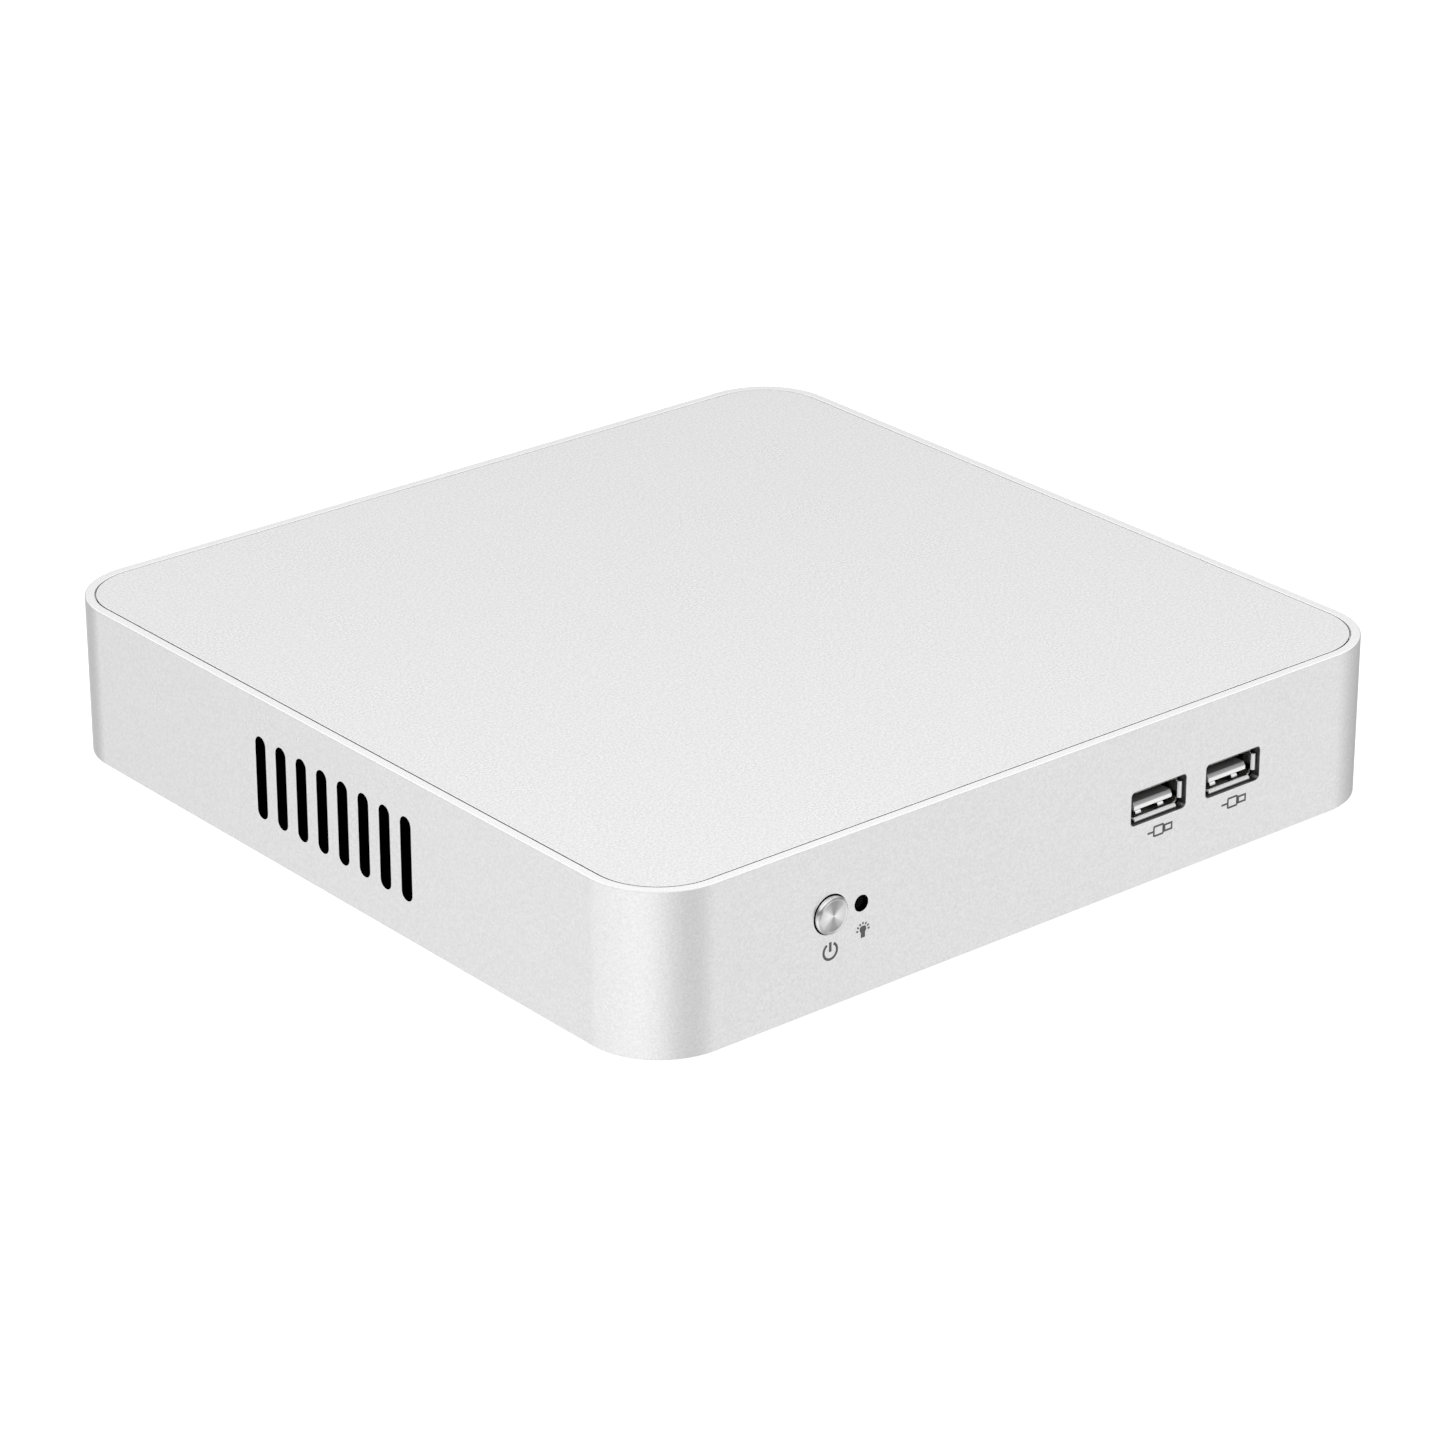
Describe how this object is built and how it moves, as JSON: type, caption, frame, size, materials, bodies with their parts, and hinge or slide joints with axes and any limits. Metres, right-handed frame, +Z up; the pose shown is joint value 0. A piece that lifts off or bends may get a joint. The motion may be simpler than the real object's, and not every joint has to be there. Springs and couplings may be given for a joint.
{
  "type": "mini pc",
  "caption": "Low square desktop computer: silver aluminium case with an inlaid top panel, side vent slots, front power button with lamp, front USB sockets, and rear sockets.",
  "frame": {"origin": "centre of the footprint, on the surface that the rubber feet stand on", "axes": "+X to the right seen from the front, +Y from the front wall to the rear sockets, +Z up; the button and the front USB sockets face -Y"},
  "size_m": [0.19, 0.1914, 0.0352],
  "materials": {
    "anodised_silver": "fine bead-blasted and silver anodised, with a fine grain",
    "panel_silver": "fine bead-blasted and silver anodised sheet",
    "black_sheet_steel": "fine textured black powder coat",
    "turned_steel": "turned face with fine concentric brushing",
    "plated_steel": "bright nickel-plated sheet",
    "zinc_screw": "zinc-plated, slightly dull",
    "spring_steel": "drawn spring wire and strip",
    "black_rubber": "matt",
    "black_mesh": "fine woven dust mesh",
    "white_plastic": "moulded, satin",
    "black_plastic": "moulded, fine matt texture",
    "smoked_plastic": "smoked, polished",
    "board_green": "solder mask over glass-fibre board",
    "chip_black": "moulded epoxy",
    "thermal_grey": "soft, matt",
    "fin_aluminium": "extruded, satin",
    "audio_plastic": "moulded, green",
    "display_plastic": "moulded, blue",
    "ivory_plastic": "moulded, ivory"
  },
  "bodies": {
    "chassis": {"body_frame": "anodised_silver", "top_panel": "panel_silver", "bottom_cover": "black_sheet_steel", "cover_screw_1": "zinc_screw", "cover_screw_2": "zinc_screw", "cover_screw_3": "zinc_screw", "cover_screw_4": "zinc_screw", "rubber_foot_1": "black_rubber", "rubber_foot_2": "black_rubber", "rubber_foot_3": "black_rubber", "rubber_foot_4": "black_rubber", "dust_filter_left": "black_mesh", "dust_filter_right": "black_mesh", "button_spring": "spring_steel", "button_guide": "black_plastic", "power_switch": "black_plastic", "light_pipe": "smoked_plastic", "power_lamp": "black_plastic", "front_usb_shell_1": "plated_steel", "front_usb_shell_2": "plated_steel", "front_usb_tongue_1": "white_plastic", "front_usb_tongue_2": "white_plastic", "mainboard": "board_green", "board_screw_1": "zinc_screw", "board_screw_2": "zinc_screw", "board_screw_3": "zinc_screw", "board_screw_4": "zinc_screw", "processor": "chip_black", "thermal_pad": "thermal_grey", "heatsink": "fin_aluminium", "heatsink_screw_1": "zinc_screw", "heatsink_screw_2": "zinc_screw", "fan_housing": "black_plastic", "fan_screw_1": "zinc_screw", "fan_screw_2": "zinc_screw", "fan_lead": "black_plastic", "fan_plug": "ivory_plastic", "memory_socket": "black_plastic", "memory_module": "board_green", "cell_holder": "black_plastic", "coin_cell": "plated_steel", "drive": "fin_aluminium", "drive_bracket": "plated_steel", "drive_socket": "black_plastic", "drive_screw_1": "zinc_screw", "drive_screw_2": "zinc_screw", "dc_inlet": "black_plastic", "vga_shell": "plated_steel", "vga_insert": "display_plastic", "hdmi_shell": "plated_steel", "hdmi_tongue": "black_plastic", "lan_socket": "plated_steel", "rear_usb_shell": "plated_steel", "rear_usb_core": "white_plastic", "audio_socket": "audio_plastic"},
    "power_button": {"power_button_cap": "turned_steel", "switch_plunger": "black_plastic"},
    "fan": {"fan_rotor": "black_plastic"},
    "latch_front": {"memory_latch_front": "spring_steel"},
    "latch_rear": {"memory_latch_rear": "spring_steel"}
  },
  "joints": [
    {"name": "power_button_press", "type": "slide", "parent": "chassis", "child": "power_button", "axis": [0, 1, 0], "range_m": [0, 0.0006], "stiffness_N_per_m": 1500, "springref_m": -0.0008, "deforming": ["button_spring"]},
    {"name": "fan_spin", "type": "hinge", "parent": "chassis", "child": "fan", "pos_m": [-0.01, 0, 0.0245], "axis": [0, 0, 1], "continuous": true},
    {"name": "latch_front_open", "type": "hinge", "parent": "chassis", "child": "latch_front", "pos_m": [0.0595, -0.0348, 0.0185], "axis": [0, 0, 1], "range_deg": [0, 6], "stiffness_Nm_per_rad": 0.05, "springref_deg": -2.86},
    {"name": "latch_rear_open", "type": "hinge", "parent": "chassis", "child": "latch_rear", "pos_m": [0.0595, 0.0348, 0.0185], "axis": [0, 0, -1], "range_deg": [0, 6], "stiffness_Nm_per_rad": 0.05, "springref_deg": -2.86}
  ]
}
